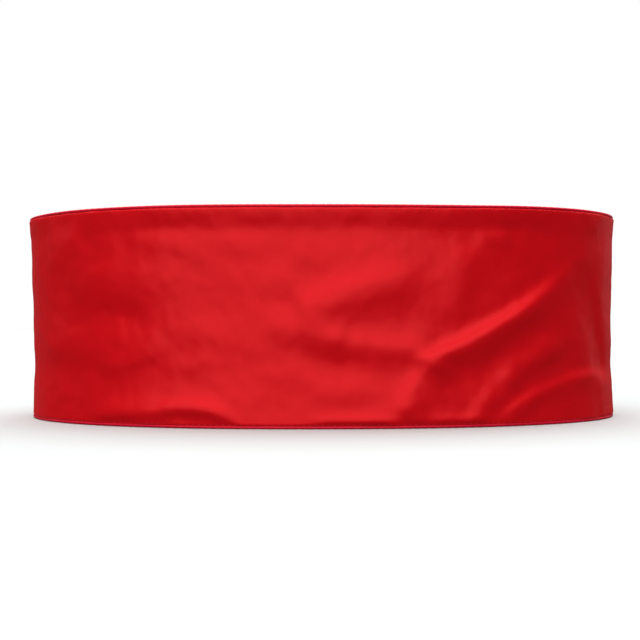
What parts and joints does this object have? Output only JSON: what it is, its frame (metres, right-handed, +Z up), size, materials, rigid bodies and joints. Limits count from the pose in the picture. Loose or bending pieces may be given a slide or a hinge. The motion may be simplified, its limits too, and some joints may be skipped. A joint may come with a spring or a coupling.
{
  "type": "cummerbund",
  "caption": "Wide plain satin waist band with rolled edges, closed at the back by overlapping ends and standing on its lower edge.",
  "frame": {"origin": "on the floor, under the middle of the band's bounding box", "axes": "+Z up, the front of the band faces -Y, +X to the right of someone looking at the front"},
  "size_m": [0.3398, 0.2063, 0.115],
  "materials": {
    "satin_cloth": "satin",
    "satin_edging": "satin",
    "hook_tape": "matt"
  },
  "bodies": {
    "root": {"band": "satin_cloth", "top_piping": "satin_edging", "bottom_piping": "satin_edging", "closure_tape": "hook_tape"}
  },
  "joints": []
}
